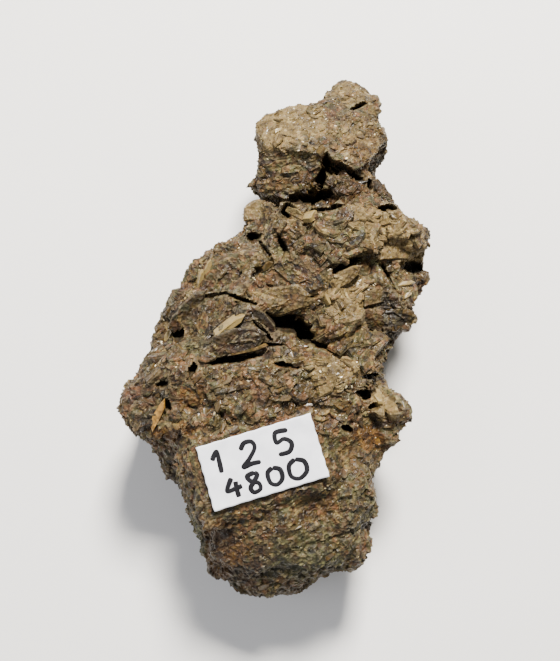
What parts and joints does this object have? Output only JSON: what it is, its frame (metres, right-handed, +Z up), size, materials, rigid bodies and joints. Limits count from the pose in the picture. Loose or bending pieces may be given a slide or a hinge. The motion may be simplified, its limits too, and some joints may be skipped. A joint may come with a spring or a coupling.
{
  "type": "axinite crystal specimen",
  "caption": "Hand-size mineral specimen: wedge-shaped axinite crystals crowded on a block of brown rock, lying on its flat back, with a small stuck-on paper label.",
  "frame": {"origin": "on the resting plane, under the middle of the specimen's box", "axes": "+Y along the specimen towards its narrow upper lobe, +Z up out of the crystal-covered face, +X to the right of it"},
  "size_m": [0.046, 0.0798, 0.0255],
  "materials": {
    "axinite": "rough crystalline, with glassy crystal faces",
    "label_paper": "matt white paper with hand-drawn ink strokes"
  },
  "bodies": {
    "root": {"axinite_specimen": "axinite", "paper_label": "label_paper"}
  },
  "joints": []
}
